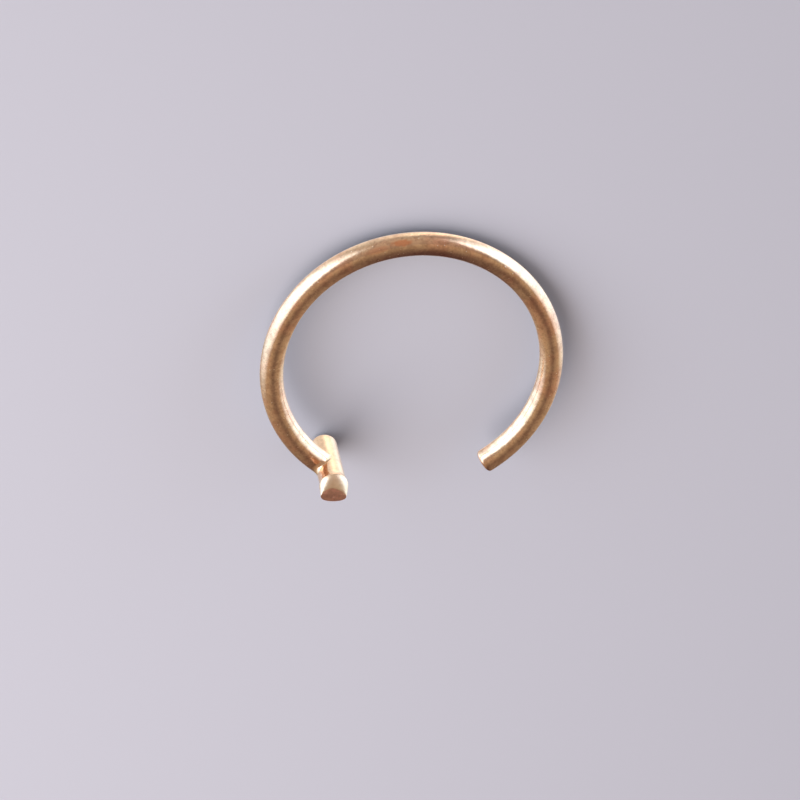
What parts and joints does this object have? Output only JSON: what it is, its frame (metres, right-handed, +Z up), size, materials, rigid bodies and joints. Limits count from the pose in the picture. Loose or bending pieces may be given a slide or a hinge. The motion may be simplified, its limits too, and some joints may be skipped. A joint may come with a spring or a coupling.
{
  "type": "nose ring",
  "caption": "Open hoop of polished round gold wire with a short round bar soldered across one end; it lies on its side.",
  "frame": {"origin": "on the surface that the ring lies on, under the middle of its bounding box", "axes": "+Z up from that surface; the hoop's gap faces -Y, the end with the bar is on the -X side and the free end on the +X side"},
  "size_m": [0.0102, 0.0096, 0.003],
  "materials": {
    "gold": "polished rosy yellow gold"
  },
  "bodies": {
    "root": {"hoop_with_bar": "gold"}
  },
  "joints": []
}
